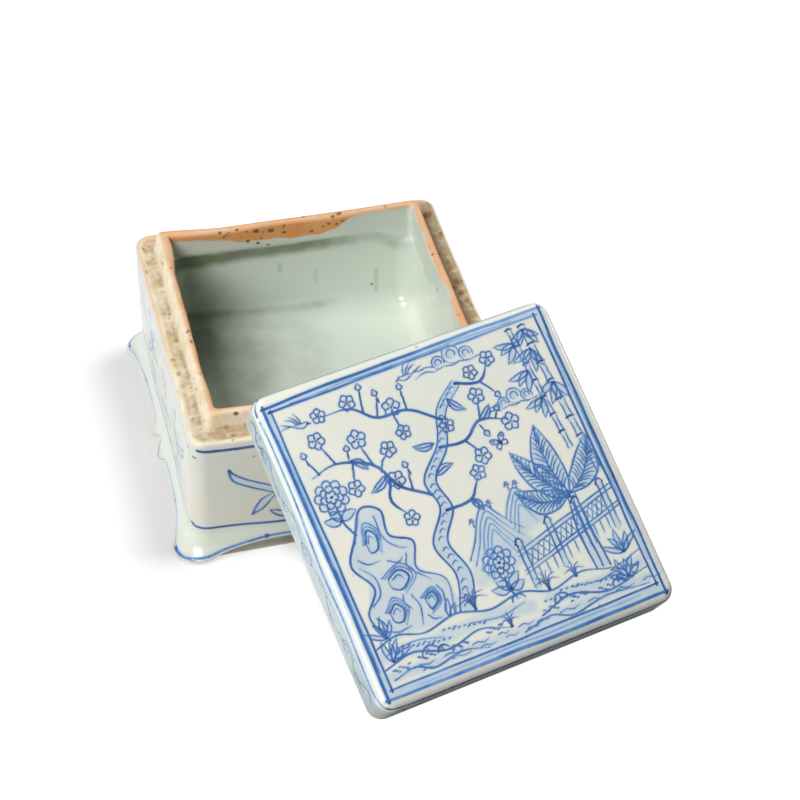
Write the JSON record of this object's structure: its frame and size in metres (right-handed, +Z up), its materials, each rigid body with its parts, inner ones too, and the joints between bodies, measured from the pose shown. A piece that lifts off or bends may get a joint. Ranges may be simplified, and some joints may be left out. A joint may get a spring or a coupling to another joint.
{
  "type": "porcelain box with cover",
  "caption": "Small nearly square porcelain box with a flared bracket foot, an unglazed ledge and a raised flange, and a loose shallow cover with rounded edges that lifts off.",
  "frame": {"origin": "middle of the foot ring, on the table", "axes": "+Z up out of the box, -Y out of the front face that the cover leans over, +X to the right"},
  "size_m": [0.1174, 0.1617, 0.0542],
  "materials": {
    "body_porcelain": "clear glossy glaze over thin cobalt lines; ledge, flange and foot edge bare and burnt tan to orange",
    "cover_porcelain": "clear glossy glaze over cobalt line drawing and pale blue washes; lip bare"
  },
  "bodies": {
    "box_body": {"box_body": "body_porcelain"},
    "cover": {"cover": "cover_porcelain"}
  },
  "joints": [
    {"name": "cover_lift", "type": "slide", "parent": "box_body", "child": "cover", "axis": [0, 0, 1], "range_m": [0, 0.09]}
  ]
}
